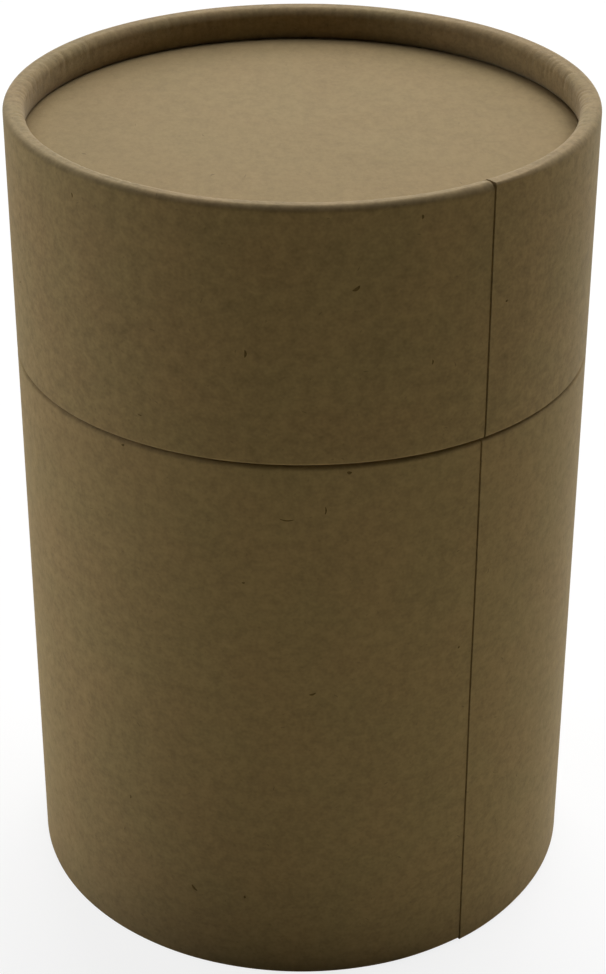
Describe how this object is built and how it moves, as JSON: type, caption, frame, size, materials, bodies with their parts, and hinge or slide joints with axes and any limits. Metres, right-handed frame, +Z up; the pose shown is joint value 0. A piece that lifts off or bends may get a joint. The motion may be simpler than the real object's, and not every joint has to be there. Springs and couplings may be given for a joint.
{
  "type": "paperboard tube container",
  "caption": "Round kraft paperboard tube with rolled rims, recessed end discs and a slip lid that lifts off an inner neck.",
  "frame": {"origin": "centre of the foot, on the surface that the container stands on", "axes": "+Z up along the axis of the tube, from the foot to the lid; -Y is the front, and the paper seams are to the right of it"},
  "size_m": [0.1, 0.1, 0.148],
  "materials": {
    "kraft_cover": "matte brown kraft paper with fine dark fibres",
    "kraft_board": "matte brown wound board"
  },
  "bodies": {
    "body": {"body_tube": "kraft_cover", "base_disc": "kraft_board", "neck_tube": "kraft_board"},
    "lid": {"lid_tube": "kraft_cover", "lid_disc": "kraft_cover"}
  },
  "joints": [
    {"name": "lid_lift", "type": "slide", "parent": "body", "child": "lid", "axis": [0, 0, 1], "range_m": [0, 0.1]}
  ]
}
